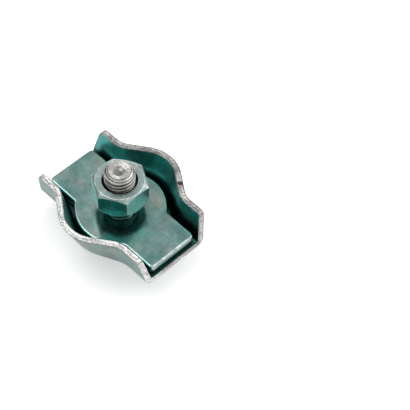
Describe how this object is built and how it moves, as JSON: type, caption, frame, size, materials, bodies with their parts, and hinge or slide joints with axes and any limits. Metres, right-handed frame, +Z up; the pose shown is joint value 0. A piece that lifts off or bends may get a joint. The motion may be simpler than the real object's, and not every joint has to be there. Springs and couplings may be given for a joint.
{
  "type": "wire rope clip",
  "caption": "Flat pressed-steel wire rope clip: bulged channel base with flared walls, loose pressure plate, hexagon bolt from below and hexagon nut on top",
  "frame": {"origin": "centre of the bolt head's flat underside, which is the bottom of the object", "axes": "+Z up the bolt towards the nut, +X along the rope and the clip's longest side, +Y across the rope towards one wall"},
  "size_m": [0.0248, 0.0218, 0.0155],
  "materials": {
    "base_zinc": "blue-green passivated zinc plating on pressed sheet steel, bright sheared edges",
    "plate_zinc": "blue-green passivated zinc plating, slightly clouded",
    "bolt_zinc": "silver zinc plating on a rolled thread",
    "nut_zinc": "blue-green passivated zinc plating"
  },
  "bodies": {
    "base": {"base_plate": "base_zinc"},
    "bolt": {"bolt": "bolt_zinc"},
    "plate": {"pressure_plate": "plate_zinc"},
    "nut": {"nut": "nut_zinc"}
  },
  "joints": [
    {"name": "nut_travel", "type": "slide", "parent": "base", "child": "nut", "axis": [0, 0, 1], "range_m": [0, 0.00224]},
    {"name": "bolt_turn", "type": "hinge", "parent": "base", "child": "bolt", "pos_m": [0, 0, 0], "axis": [0, 0, 1], "range_deg": [-1008, 0]},
    {"name": "plate_lift", "type": "slide", "parent": "base", "child": "plate", "axis": [0, 0, 1], "range_m": [0, 0.00235]}
  ],
  "couplings": [
    {"joint": "bolt_turn", "follows": "nut_travel", "rad_per_m": -7854}
  ]
}
